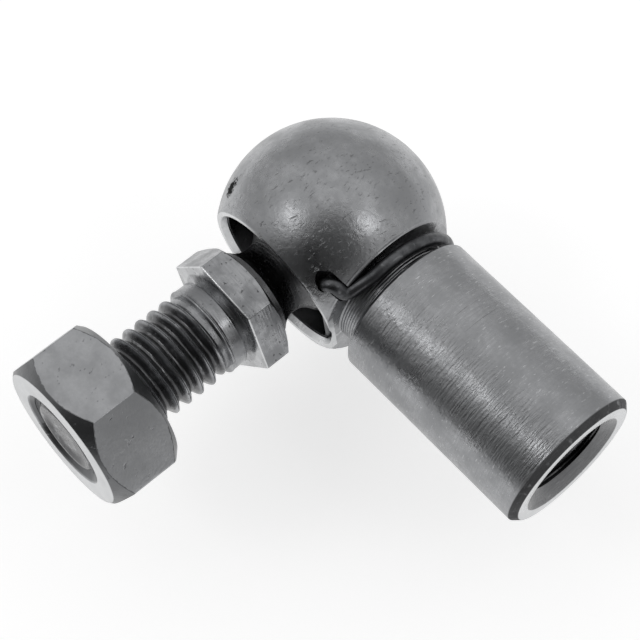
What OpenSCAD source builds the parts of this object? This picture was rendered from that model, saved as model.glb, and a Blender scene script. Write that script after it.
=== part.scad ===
// Angle ball joint: a ball socket with a threaded shank, a ball stud with a hexagon,
// a wire safety clip that keeps the ball in, and a hexagon nut on the stud.
// Frame: the ball's centre is the origin, the shank runs along +X, the mouth opens
// towards -Y and +Z is up. Millimetres.

/* [Socket] */
// Wall of the round housing behind the ball
housing_wall = 3; // [2.6:0.1:4]
// Width of the flat rim round the mouth
rim_w = 0.43; // [0.3:0.01:0.8]
// Width of the lead-in cone at the mouth
lead_w = 0.22; // [0.1:0.01:0.3]
// Depth of the lead-in cone at the mouth
lead_t = 0.56; // [0.2:0.02:0.8]
// Diameter of the shank
shank_d = 13; // [12:0.5:15]
// Distance from the ball's centre to the end of the shank
shank_reach = 28; // [24:0.5:40]
// Chamfer on the end of the shank
shank_chamfer = 0.55; // [0.2:0.05:0.8]
// Chamfer on the shoulder of the shank
shoulder_chamfer = 0.3; // [0.1:0.05:0.5]
// Diameter of the turned neck between housing and shank
neck_d = 10.4; // [9.6:0.2:11]
// Width of the turned neck
neck_w = 2.1; // [1.9:0.05:3]
// Diameter of the tapped hole for the rod, at the crests of its thread
rod_hole_d = 6.8; // [5:0.2:7.4]
// Wall between the point of the tapped hole and the ball's pocket
rod_floor = 2.85; // [2:0.05:8]
// Diameter of the countersink at the tapped hole's mouth
rod_sink_d = 9.9; // [8.4:0.1:10.5]

/* [Ball stud] */
// Diameter of the ball
ball_d = 13; // [12:0.1:14]
// Diameter of the waist behind the ball
waist_d = 6.4; // [5.6:0.2:7]
// Radius of the hollow that forms the waist
waist_fillet = 2.25; // [2:0.05:2.6]
// Diameter of the heel between waist and hexagon
heel_d = 8; // [7.6:0.2:9]
// Width of the heel
heel_w = 0.74; // [0.5:0.02:1.2]
// Width across the flats of the stud's hexagon
hex_af = 10; // [9.4:0.2:12]
// Thickness of the hexagon
hex_t = 2.75; // [2.5:0.05:4]
// Diameter of the flat left by the chamfer on the hexagon's back
hex_flat_d = 9.8; // [9:0.1:10]
// Diameter of the groove under the lever seat
undercut_d = 6.9; // [6:0.1:7.2]
// Width of the groove under the lever seat
undercut_w = 0.6; // [0.5:0.1:1]
// Diameter of the plain collar that centres the lever
collar_d = 8; // [7.9:0.1:8.4]
// Width of the collar
collar_w = 1.5; // [1:0.1:2]
// Diameter of the plain shaft between collar and thread
blank_d = 7.1; // [6.4:0.1:7.4]
// Width of the plain shaft between collar and thread
blank_w = 0.7; // [0.4:0.1:1]
// Diameter of the thread
thread_d = 7.8; // [7.6:0.1:8]
// Length of the thread
thread_l = 13.4; // [12:0.1:24]
// Chamfer on the end of the stud
stud_chamfer = 0.85; // [0.3:0.05:1]
// Angle by which the stud is raised out of the mouth's axis at rest
stud_tilt = 7; // [-18:1:18]
// Turn of the stud about its own axis
stud_turn = -7.3; // [-30:0.1:30]

/* [Nut] */
// Width across the flats of the nut
nut_af = 13; // [12.6:0.2:15]
// Thickness of the nut
nut_t = 6.5; // [5:0.5:8]
// Length by which the nut's outer face stands past the end of the stud
nut_past = 0.15; // [-3:0.05:1]
// Diameter of the flat left by the chamfers on the nut's faces
nut_flat_d = 12.45; // [12:0.05:12.9]
// Slope of the nut's chamfers against its faces
nut_slope = 45; // [30:1:48]
// Diameter of the countersinks at both ends of the nut's hole
nut_sink_d = 8.6; // [8.4:0.1:9.2]
// Turn of the nut about the stud's axis
nut_turn = 3.5; // [-30:0.1:30]

/* [Safety clip] */
// Diameter of the spring wire
wire_d = 1.2; // [1:0.1:1.4]
// Inner radius of the wire's bends
wire_bend_in = 0.06; // [0.04:0.02:0.12]
// Height of the leg's corner above the housing
leg_rise = 0.55; // [0.4:0.05:1]
// Length by which the leg stands out below the housing
leg_tail = 0; // [0:0.1:1.5]
// Place round the neck where the wire leaves it, from the top towards the mouth
wrap_start = 16.5; // [12:0.5:20]
// Angle round the neck that the wire grips
wrap_angle = 215; // [190:5:240]
// Spread between the point where the wire leaves the neck and its corner
wrap_spread = 24; // [20:1:28]
// Angle by which the wire's turn round the neck leans away from the mouth
wrap_lean = 2.4; // [1:0.1:4]
// Distance by which the wire's corner beside the neck is drawn towards the housing
corner_draw = 0.54; // [0.3:0.02:0.6]

/* [Clearances and thin walls] */
// Gap between the ball and its seat
ball_gap = 0.1; // [0.05:0.01:0.15]
// Gap between the thread of the stud and the nut
thread_gap = 0.06; // [0.02:0.01:0.09]
// Gap between the clip's leg and the ball
leg_gap = 0.09; // [0.05:0.01:0.15]
// Gap between the clip's leg and its hole in the housing
hole_gap = 0.16; // [0.1:0.01:0.2]
// Gap between the clip and the slot from its hole to the neck
slot_gap = 0.2; // [0.18:0.01:0.3]
// Gap between the clip and the groove that leads it out of the slot to the neck
groove_gap = 0.08; // [0.06:0.01:0.09]
// Gap between the clip and the neck that it grips
wrap_gap = 0.1; // [0.08:0.01:0.14]
// Gap between the clip and the housing's side of the neck
side_gap = 0.2; // [0.18:0.02:0.4]
// Wall between the leg's hole and the rim of the mouth
rim_wall = 0.57; // [0.3:0.01:0.8]
// Wall between the mouth's bore and the neck
bore_wall = 0.14; // [0.1:0.02:0.4]

/* [Hidden] */
$fn = 96;
// Reach of a cut past the face that it opens
over = 1;
// Half angle of a drill's point and of the countersinks
drill_half_angle = 59;
sink_half_angle = 60;
// Slope of the chamfer on the back of the stud's hexagon
hex_slope = 30;
// Share of the hollow's radius by which its arc dips into the ball
blend_dip = 0.02;
arc_steps = 16;
// Angle left off the end of the hollow, where the heel's edge begins
arc_end = 1;
// Share of the way from the wire's corner to the neck that the groove follows
groove_share = 0.85;
hairpin_steps = 12;
elbow_steps = 8;
wrap_steps = 28;
wire_facets = 16;
facet = 360 / wire_facets;
// Housing: the mouth is cut where the rim has its width
ball_r = ball_d / 2;
pocket_r = ball_r + ball_gap;
housing_r = pocket_r + housing_wall;
mouth_reach = sqrt(pow(housing_r, 2) - pow(pocket_r + lead_w + rim_w, 2));
// Leg of the clip: it passes in front of the ball, just inside the rim
hole_r = wire_d / 2 + hole_gap;
leg_dist = ball_r + leg_gap + wire_d / 2;
leg_y = -(mouth_reach - rim_wall - hole_r);
leg_x = sqrt(pow(leg_dist, 2) - pow(leg_y, 2));
leg_exit = sqrt(pow(housing_r, 2) - pow(leg_dist, 2));
// Neck and shank follow the mouth's bore
neck_x = pocket_r + bore_wall;
shoulder_x = neck_x + neck_w;
rod_point = rod_hole_d / 2 / tan(drill_half_angle);
rod_hole_depth = shank_reach - pocket_r - rod_floor - rod_point;
// Stud: middle of the circle that hollows out the waist, then the steps up to the end
hollow_x = waist_d / 2 + waist_fillet;
hollow_z = sqrt(pow(ball_r + waist_fillet * (1 - blend_dip), 2) - pow(hollow_x, 2));
hollow_first = 180 + asin(hollow_z / norm([hollow_x, hollow_z]));
heel_rise = sqrt(pow(waist_fillet, 2) - pow(hollow_x - heel_d / 2, 2));
hollow_last = 180 - asin(heel_rise / waist_fillet) + arc_end;
heel_start = hollow_z + heel_rise;
hex_back = heel_start + heel_w;
seat_reach = hex_back + hex_t;
collar_start = seat_reach + undercut_w;
blank_start = collar_start + collar_w;
thread_start = blank_start + blank_w;
stud_reach = thread_start + thread_l;
nut_hole_d = thread_d + 2 * thread_gap;
nut_reach = stud_reach + nut_past;
// Route of the clip: up the leg, over the housing, down to the neck and round it
wire_bend_r = wire_d / 2 + wire_bend_in;
wrap_r = neck_d / 2 + wrap_gap + wire_d / 2;
wrap_x = neck_x + side_gap + wire_d / 2;
leg_foot = [leg_x, leg_y, -leg_exit - leg_tail];
leg_corner = [leg_x, leg_y, leg_exit + leg_rise];
neck_corner = round_neck(wrap_r / cos(wrap_spread), wrap_start + wrap_spread) - [corner_draw, 0, 0];
neck_touch = round_neck(wrap_r, wrap_start);
clip_route = concat(
    [leg_foot],
    bend(leg_foot, leg_corner, neck_corner, hairpin_steps),
    bend(leg_corner, neck_corner, neck_touch, elbow_steps),
    [for (i = [0 : wrap_steps]) round_neck(wrap_r, wrap_start - wrap_angle * i / wrap_steps)]
);

// Point beside the neck, at an angle from the top towards the mouth
function round_neck(r, angle) =
    [wrap_x - r * sin(angle) * tan(wrap_lean), -r * sin(angle), r * cos(angle)];

function unit(v) = v / norm(v);

// Angle by which the route a, b, c turns at b
function turn_at(a, b, c) = acos(unit(b - a) * unit(c - b));

// Points of the round bend of the wire at corner b of the route a, b, c
function bend(a, b, c, steps) =
    let (
        into = unit(b - a),
        turn = turn_at(a, b, c),
        inward = unit(c - b - into * ((c - b) * into)),
        middle = b - into * wire_bend_r * tan(turn / 2) + inward * wire_bend_r
    )
    [for (i = [0 : steps])
        middle + wire_bend_r * (into * sin(turn * i / steps) - inward * cos(turn * i / steps))];

// Directions of a route at its points
function headings(path) =
    [for (i = [0 : len(path) - 1])
        unit(path[min(i + 1, len(path) - 1)] - path[max(i - 1, 0)])];

// Side directions carried along a route with no twist
function carried(ways, side, i = 0) =
    i == len(ways) ? [] :
    let (next = unit(side - ways[i] * (side * ways[i])))
    concat([next], carried(ways, next, i + 1));

// Points of an arc in the plane, both ends included
function arc(centre, r, first, last) =
    [for (i = [0 : arc_steps]) centre + r * unit_at(first + (last - first) * i / arc_steps)];

function unit_at(angle) = [cos(angle), sin(angle)];

// Outline of a plain step of a turned part
function step_out(d, from, to) = [[d / 2, from], [d / 2, to]];

// Moves +Z to the stud's axis, away from the ball
module along_stud() {
    rotate([90 - stud_tilt, 0, 0]) children();
}

// Moves +Z to the shank's axis
module along_shank() {
    rotate([0, 90, 0]) children();
}

// Hexagonal prism with a corner on +X
module hexagon(af, t) {
    cylinder(d = af / cos(30), h = t, $fn = 6);
}

// Cone that opens upwards from a flat of the given diameter, to chamfer a hexagon with
module chamfer_cone(flat_d, slope, h) {
    cylinder(d1 = flat_d, d2 = flat_d + 2 * h / tan(slope), h = h);
}

// Round wire along a route
module wire_along(path, d) {
    ways = headings(path);
    sides = carried(ways, [1, 0, 0]);
    last = len(path) - 1;
    rim = [for (j = [0 : wire_facets - 1]) j];
    points = [for (i = [0 : last]) for (j = rim)
        path[i] + d / 2 * (cos(j * facet) * sides[i] + sin(j * facet) * cross(ways[i], sides[i]))];
    skin = [for (i = [0 : last - 1]) for (j = rim)
        let (k = (j + 1) % wire_facets)
        [i * wire_facets + j, (i + 1) * wire_facets + j, (i + 1) * wire_facets + k, i * wire_facets + k]];
    foot = [for (j = rim) j];
    tip = [for (j = rim) (last + 1) * wire_facets - 1 - j];
    polyhedron(points, concat([foot], skin, [tip]), convexity = 8);
}

// Straight cut with room for the wire between two points of its route
module wire_cut(from, to, gap) {
    run = to - from;
    translate(from)
        rotate([0, acos(run.z / norm(run)), atan2(run.y, run.x)])
            cylinder(d = wire_d + 2 * gap, h = norm(run));
}

// Hole through the housing for the clip's leg, the slot from it to the neck,
// and the groove where the wire leaves the housing's side
module clip_cuts() {
    // The slot runs on past the wire's corner, to clear the outside of its bend
    slot_end = neck_corner + unit(neck_corner - leg_corner) * wire_d / 2;
    wire_cut(leg_foot - [0, 0, over], leg_corner, hole_gap);
    wire_cut(leg_corner, slot_end, slot_gap);
    wire_cut(neck_corner, neck_corner + groove_share * (neck_touch - neck_corner), groove_gap);
}

// Round housing, cut off square where the neck begins
module housing() {
    difference() {
        sphere(r = housing_r);
        translate([neck_x, 0, 0]) along_shank() cylinder(r = 2 * housing_r, h = 2 * housing_r);
    }
}

// Neck and shank, turned from one bar with the housing
module shank() {
    along_shank()
        rotate_extrude()
            polygon(concat(
                [[0, 0]],
                step_out(neck_d, 0, shoulder_x),
                [[shank_d / 2 - shoulder_chamfer, shoulder_x]],
                step_out(shank_d, shoulder_x + shoulder_chamfer, shank_reach - shank_chamfer),
                [[shank_d / 2 - shank_chamfer, shank_reach], [0, shank_reach]]
            ));
}

// Round pocket for the ball, open to the mouth, with a lead-in cone behind the flat rim
module ball_pocket() {
    lead_end = pocket_r + lead_w * (lead_t + over) / lead_t;
    sphere(r = pocket_r);
    rotate([90, 0, 0]) {
        cylinder(r = pocket_r, h = 2 * housing_r);
        translate([0, 0, mouth_reach - lead_t])
            cylinder(r1 = pocket_r, r2 = lead_end, h = lead_t + over);
        translate([0, 0, mouth_reach]) cylinder(r = 2 * housing_r, h = 2 * housing_r);
    }
}

// Tapped hole for the rod, with its drill point and countersink
module rod_hole() {
    sink = (rod_sink_d - rod_hole_d) / 2 / tan(sink_half_angle);
    flare = over * tan(sink_half_angle);
    translate([shank_reach, 0, 0]) along_shank() {
        translate([0, 0, -rod_hole_depth]) cylinder(d = rod_hole_d, h = rod_hole_depth + over);
        translate([0, 0, -rod_hole_depth - rod_point]) cylinder(d1 = 0, d2 = rod_hole_d, h = rod_point);
        translate([0, 0, -sink])
            cylinder(d1 = rod_hole_d, d2 = rod_sink_d + 2 * flare, h = sink + over);
    }
}

module ball_socket() {
    color("#85878a")
        difference() {
            union() {
                housing();
                shank();
            }
            ball_pocket();
            rod_hole();
            clip_cuts();
        }
}

// Ball, and the turned outline from its hollow waist to the chamfered end of the thread
module turned_stud() {
    inside_hex = hex_back + hex_t / 2;
    sphere(d = ball_d);
    rotate_extrude()
        polygon(concat(
            [[0, 0]],
            arc([hollow_x, hollow_z], waist_fillet, hollow_first, hollow_last),
            step_out(heel_d, heel_start, inside_hex),
            step_out(undercut_d, inside_hex, collar_start),
            step_out(collar_d, collar_start, blank_start),
            step_out(blank_d, blank_start, thread_start),
            step_out(thread_d, thread_start, stud_reach - stud_chamfer),
            [[thread_d / 2 - stud_chamfer, stud_reach], [0, stud_reach]]
        ));
}

// Hexagon with its back chamfered and its lever seat left sharp
module stud_hexagon() {
    translate([0, 0, hex_back])
        intersection() {
            rotate([0, 0, stud_turn]) hexagon(hex_af, hex_t);
            chamfer_cone(hex_flat_d, hex_slope, hex_t);
        }
}

module ball_stud() {
    color("#9b9da0")
        along_stud() {
            turned_stud();
            stud_hexagon();
        }
}

module safety_clip() {
    color("#4a4b4d") wire_along(clip_route, wire_d);
}

// Countersink at the end of the nut's hole that faces down
module nut_sink() {
    flare = over * tan(sink_half_angle);
    sink = (nut_sink_d - nut_hole_d) / 2 / tan(sink_half_angle);
    translate([0, 0, -over]) cylinder(d1 = nut_sink_d + 2 * flare, d2 = nut_hole_d, h = over + sink);
}

module hex_nut() {
    color("#8d8f92")
        along_stud()
            translate([0, 0, nut_reach - nut_t])
                difference() {
                    intersection() {
                        rotate([0, 0, nut_turn]) hexagon(nut_af, nut_t);
                        chamfer_cone(nut_flat_d, nut_slope, nut_t);
                        translate([0, 0, nut_t]) mirror([0, 0, 1]) chamfer_cone(nut_flat_d, nut_slope, nut_t);
                    }
                    translate([0, 0, -over]) cylinder(d = nut_hole_d, h = nut_t + 2 * over);
                    nut_sink();
                    translate([0, 0, nut_t]) mirror([0, 0, 1]) nut_sink();
                }
}

ball_socket();
ball_stud();
safety_clip();
hex_nut();
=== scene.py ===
"""Angle ball joint in bare steel: ball socket, ball stud, wire safety clip and hexagon nut.

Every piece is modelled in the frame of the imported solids: the ball's centre is the origin, the
shank runs along +X, the mouth opens towards -Y and +Z is up. Sizes are written in millimetres.
"""

import logging
import math
from dataclasses import dataclass, field
from enum import Enum

import bpy
from mathutils import Matrix, Vector

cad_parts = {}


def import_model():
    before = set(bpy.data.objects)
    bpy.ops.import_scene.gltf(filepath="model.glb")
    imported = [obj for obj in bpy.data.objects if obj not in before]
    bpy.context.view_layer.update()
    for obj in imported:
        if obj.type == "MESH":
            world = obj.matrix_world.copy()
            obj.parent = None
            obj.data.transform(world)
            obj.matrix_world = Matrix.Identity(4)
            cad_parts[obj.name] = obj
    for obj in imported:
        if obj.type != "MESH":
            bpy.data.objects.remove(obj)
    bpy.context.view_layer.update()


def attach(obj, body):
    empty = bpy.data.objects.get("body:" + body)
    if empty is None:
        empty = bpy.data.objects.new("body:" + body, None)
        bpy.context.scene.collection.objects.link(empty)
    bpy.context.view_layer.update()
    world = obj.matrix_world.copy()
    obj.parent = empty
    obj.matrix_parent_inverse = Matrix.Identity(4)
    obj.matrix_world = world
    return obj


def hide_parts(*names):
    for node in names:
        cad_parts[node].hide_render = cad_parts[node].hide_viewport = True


Piece = bpy.types.Object
Material = bpy.types.Material
Tree = bpy.types.NodeTree
Node = bpy.types.Node
Socket = bpy.types.NodeSocket

LOG = logging.getLogger("ball_joint")
MM = 0.001
# Points closer than this are one, and a slice takes points this close as lying in it, in metres
WELD = 2e-7
SLICE = 1e-8


class Cut(Enum):
    """Ways to join a tool with a piece."""

    AWAY = "DIFFERENCE"
    WITH = "UNION"
    WITHIN = "INTERSECT"


class Axis(Enum):
    """Axes that a piece is turned about."""

    X = (1.0, 0.0, 0.0)
    Z = (0.0, 0.0, 1.0)


@dataclass
class Outline:
    """Outline of a turned piece: radius and place along the axis, in millimetres."""

    corners: list[tuple[float, float, float]] = field(default_factory=list)

    def to(self, radius: float, along: float, fillet: float = 0.0) -> "Outline":
        """Draws a straight line to a corner.

        Args:
            radius: distance from the axis.
            along: place on the axis.
            fillet: length that the corner's rounding takes off both of its sides.

        Returns:
            The outline itself, so that corners can be chained.
        """
        self.corners.append((radius, along, fillet))
        return self

    def arc(
        self, r: float, first: float, last: float, centre: tuple[float, float], steps: int
    ) -> "Outline":
        """Draws an arc, both ends included.

        Args:
            r: radius of the arc.
            first: angle at which it starts, in degrees from the radius' direction.
            last: angle at which it ends.
            centre: radius and place along the axis of its centre.
            steps: number of straight pieces.

        Returns:
            The outline itself.
        """
        for i in range(steps + 1):
            a = math.radians(first + (last - first) * i / steps)
            self.to(max(centre[0] + r * math.cos(a), 0.0), centre[1] + r * math.sin(a))
        return self

    def points(self) -> list[tuple[float, float]]:
        """Rounds the corners.

        Returns:
            The points of the outline with each filleted corner drawn as a short curve.
        """
        found: list[tuple[float, float]] = []
        for i, (x, y, fillet) in enumerate(self.corners):
            if fillet <= 0.0:
                found.append((x, y))
                continue
            here = Vector((x, y))
            before = Vector(self.corners[i - 1][:2]) - here
            after = Vector(self.corners[i + 1][:2]) - here
            reach = min(fillet, 0.48 * before.length, 0.48 * after.length)
            a = here + before.normalized() * reach
            b = here + after.normalized() * reach
            for t in (0.0, 0.25, 0.5, 0.75, 1.0):
                p = a * (1 - t) ** 2 + here * 2 * t * (1 - t) + b * t * t
                found.append((p.x, p.y))
        return found


def alone(piece: Piece) -> None:
    """Selects one piece and nothing else, and makes it the active one."""
    bpy.ops.object.select_all(action="DESELECT")
    piece.select_set(True)
    bpy.context.view_layer.objects.active = piece


def drawn(name: str, points: list[tuple[float, float, float]]) -> Piece:
    """Draws a chain of edges: a plane merged to one point, then extruded from place to place.

    Args:
        name: name of the new object.
        points: places of the chain's points, in millimetres.

    Returns:
        The new object, left in edit mode with its last point selected.
    """
    bpy.ops.object.select_all(action="DESELECT")
    bpy.ops.mesh.primitive_plane_add(size=MM)
    piece = bpy.context.object
    piece.name = name
    bpy.ops.object.mode_set(mode="EDIT")
    bpy.ops.mesh.select_mode(type="VERT")
    bpy.ops.mesh.select_all(action="SELECT")
    bpy.ops.mesh.merge(type="CENTER")
    here = Vector((0.0, 0.0, 0.0))
    for i, point in enumerate(points):
        step = Vector(point) * MM - here
        here = here + step
        if i == 0:
            bpy.ops.transform.translate(value=step)
        else:
            bpy.ops.mesh.extrude_vertices_move(TRANSFORM_OT_translate={"value": step})
    return piece


def closed(piece: Piece) -> Piece:
    """Merges the doubles of a piece in edit mode, turns its faces outwards and leaves edit mode."""
    bpy.ops.mesh.select_all(action="SELECT")
    bpy.ops.mesh.remove_doubles(threshold=WELD)
    bpy.ops.mesh.normals_make_consistent(inside=False)
    bpy.ops.object.mode_set(mode="OBJECT")
    return piece


def turned(name: str, outline: Outline, axis: Axis, segments: int) -> Piece:
    """Turns an outline about an axis, as on a lathe.

    Args:
        name: name of the new object.
        outline: outline from axis to axis.
        axis: axis of the lathe.
        segments: number of flats round the piece.

    Returns:
        The turned piece, closed.
    """
    lift = {
        Axis.X: lambda r, a: (a, 0.0, r),
        Axis.Z: lambda r, a: (r, 0.0, a),
    }[axis]
    piece = drawn(name, [lift(r, a) for r, a in outline.points()])
    bpy.ops.mesh.select_all(action="SELECT")
    bpy.ops.mesh.spin(steps=segments, angle=math.tau, center=(0.0, 0.0, 0.0), axis=axis.value)
    return closed(piece)


def cut(piece: Piece, tool: Piece, how: Cut) -> None:
    """Joins a tool with a piece by a Boolean and removes the tool.

    Args:
        piece: piece that is changed.
        tool: closed mesh that changes it.
        how: what the tool does to the piece.
    """
    alone(piece)
    bpy.ops.object.modifier_add(type="BOOLEAN")
    boolean = piece.modifiers[-1]
    boolean.operation = how.value
    boolean.solver = "EXACT"
    boolean.object = tool
    bpy.ops.object.modifier_apply(modifier=boolean.name)
    bpy.data.objects.remove(tool)


def placed(piece: Piece, matrix: Matrix) -> Piece:
    """Moves a piece and puts its place in its mesh.

    Args:
        piece: piece to move.
        matrix: its new place.

    Returns:
        The piece, at the origin and unturned.
    """
    alone(piece)
    piece.matrix_world = matrix
    bpy.ops.object.transform_apply(location=True, rotation=True, scale=True)
    return piece


@dataclass(frozen=True)
class Thread:
    """Right-handed thread: a profile over one pitch, carried along a helix about Z."""

    pitch: float
    profile: tuple[tuple[float, float], ...]
    steps: int = 96

    def grown(self, by: float) -> "Thread":
        """Returns the same thread with its profile moved away from the axis."""
        return Thread(self.pitch, tuple((z, r + by) for z, r in self.profile), self.steps)

    def solid(self, name: str, first: float, last: float, crest: float) -> Piece:
        """Makes a closed threaded rod.

        Args:
            name: name of the new object.
            first: place along Z where the rod starts.
            last: place along Z where it ends.
            crest: place along Z of a crest on the +X side.

        Returns:
            The rod, cut off square at both ends.
        """
        turns = math.ceil((last - first) / self.pitch) + 4
        start = crest + self.pitch * (math.floor((first - crest) / self.pitch) - 1)
        piece = drawn(name, [(r, 0.0, start + z) for z, r in self.profile])
        bpy.ops.object.mode_set(mode="OBJECT")
        bpy.ops.object.modifier_add(type="SCREW")
        screw = piece.modifiers[-1]
        screw.axis = "Z"
        screw.screw_offset = self.pitch * MM
        screw.iterations = turns
        screw.steps = screw.render_steps = self.steps
        screw.use_merge_vertices = True
        screw.merge_threshold = WELD
        bpy.ops.object.modifier_apply(modifier=screw.name)
        bpy.ops.object.mode_set(mode="EDIT")
        bpy.ops.mesh.select_all(action="SELECT")
        bpy.ops.mesh.remove_doubles(threshold=WELD)
        for place, way in ((first, -1.0), (last, 1.0)):
            bpy.ops.mesh.select_all(action="SELECT")
            bpy.ops.mesh.bisect(
                plane_co=(0.0, 0.0, place * MM),
                plane_no=(0.0, 0.0, way),
                use_fill=True,
                clear_outer=True,
                threshold=SLICE,
            )
        return closed(piece)


@dataclass(frozen=True)
class Sizes:
    """Sizes of the solids that the pieces have to meet, in millimetres."""

    ball_r: float = 6.5
    pocket_r: float = 6.6
    housing_r: float = 9.6
    rim_w: float = 0.43
    lead_w: float = 0.22
    lead_t: float = 0.56
    rim_wall: float = 0.57
    bore_wall: float = 0.14
    neck_r: float = 5.2
    neck_w: float = 2.1
    shank_r: float = 6.5
    shank_reach: float = 28.0
    shank_edge: float = 0.55
    rod_hole_r: float = 3.4
    rod_sink_r: float = 4.95
    rod_floor: float = 2.85
    wire_r: float = 0.6
    hole_gap: float = 0.16
    leg_gap: float = 0.09
    stud_tilt: float = 7.0
    stud_reach: float = 28.2
    nut_reach: float = 28.35

    @property
    def mouth_reach(self) -> float:
        """Distance from the ball's centre to the flat rim of the mouth."""
        return math.sqrt(self.housing_r**2 - self.rim_r**2)

    @property
    def mouth_foot(self) -> float:
        """Distance from the ball's centre to the foot of the mouth's lead-in."""
        return self.mouth_reach - self.lead_t

    @property
    def rod_point(self) -> float:
        """Place of the point of the hole in the shank."""
        return self.pocket_r + self.rod_floor

    @property
    def end_r(self) -> float:
        """Outer radius of the shank's end face, inside its chamfer."""
        return self.shank_r - self.shank_edge

    @property
    def rim_r(self) -> float:
        """Outer radius of the flat rim of the mouth."""
        return self.pocket_r + self.lead_w + self.rim_w

    @property
    def hole_r(self) -> float:
        """Radius of the hole for the clip's leg."""
        return self.wire_r + self.hole_gap

    @property
    def leg(self) -> Vector:
        """Place of the clip's leg, which passes in front of the ball."""
        y = -(self.mouth_reach - self.rim_wall - self.hole_r)
        away = self.ball_r + self.leg_gap + self.wire_r
        return Vector((math.sqrt(away**2 - y * y), y, 0.0))

    @property
    def leg_exit(self) -> float:
        """Height at which the leg leaves the housing."""
        return math.sqrt(self.housing_r**2 - self.leg.length_squared)

    @property
    def neck_x(self) -> float:
        """Place of the housing's side of the neck."""
        return self.pocket_r + self.bore_wall

    @property
    def shoulder_x(self) -> float:
        """Place of the shank's side of the neck."""
        return self.neck_x + self.neck_w

    @property
    def stud_place(self) -> Matrix:
        """Place of the stud's axis: its local +Z points away from the ball."""
        return Matrix.Rotation(math.radians(90.0 - self.stud_tilt), 4, "X")


SIZES = Sizes()
# Rolled M8 thread: its crests are folded, with a fine furrow between two lips
ROLLED_M8 = Thread(
    1.25,
    (
        (-0.625, 3.25), (-0.53, 3.265), (-0.45, 3.33), (-0.30, 3.57), (-0.15, 3.80), (-0.10, 3.865),
        (-0.06, 3.895), (-0.03, 3.875), (0.0, 3.81), (0.03, 3.875), (0.06, 3.895), (0.10, 3.865),
        (0.15, 3.80), (0.30, 3.57), (0.45, 3.33), (0.53, 3.265), (0.625, 3.25),
    ),
)
# Tapped M8 thread: crests cut flat, roots left sharp
TAPPED_M8 = Thread(
    1.25,
    (
        (-0.625, 3.36), (-0.45, 3.36), (-0.40, 3.40), (-0.09, 3.93), (0.0, 3.97), (0.09, 3.93),
        (0.40, 3.40), (0.45, 3.36), (0.625, 3.36),
    ),
)


def srgb(code: str) -> tuple[float, float, float, float]:
    """Turns an sRGB hex value to linear.

    Args:
        code: six hex digits after a hash.

    Returns:
        Linear red, green, blue, and an alpha of 1.
    """
    parts = [int(code[i : i + 2], 16) / 255 for i in (1, 3, 5)]
    linear = [p / 12.92 if p <= 0.04045 else ((p + 0.055) / 1.055) ** 2.4 for p in parts]
    return (linear[0], linear[1], linear[2], 1.0)


def add(
    tree: Tree,
    kind: str,
    settings: dict[str, object] | None = None,
    inputs: dict[str | int, object] | None = None,
) -> Node:
    """Adds a node with its settings and links.

    Args:
        tree: node tree that gets it.
        kind: the node's type after ShaderNode.
        settings: properties of the node.
        inputs: what its inputs get, by name or number: a socket is linked, a value is set.

    Returns:
        The new node.
    """
    node = tree.nodes.new("ShaderNode" + kind)
    for key, value in (settings or {}).items():
        setattr(node, key, value)
    for key, value in (inputs or {}).items():
        if isinstance(value, Socket):
            tree.links.new(value, node.inputs[key])
        else:
            node.inputs[key].default_value = value
    return node


@dataclass(frozen=True)
class Coat:
    """A tint that lies over what is below it, where its pattern is."""

    tint: str
    pattern: Socket
    weight: float = 1.0


@dataclass(frozen=True)
class Relief:
    """A pattern that stands up from the surface or is sunk in it, by a depth in millimetres."""

    pattern: Socket
    depth: float
    sunk: bool = False


@dataclass(frozen=True)
class Spot:
    """A single mark: its middle, its half sizes and its turn, in millimetres and degrees."""

    at: tuple[float, float, float]
    half: tuple[float, float, float]
    turn: tuple[float, float, float] = (0.0, 0.0, 0.0)


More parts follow.
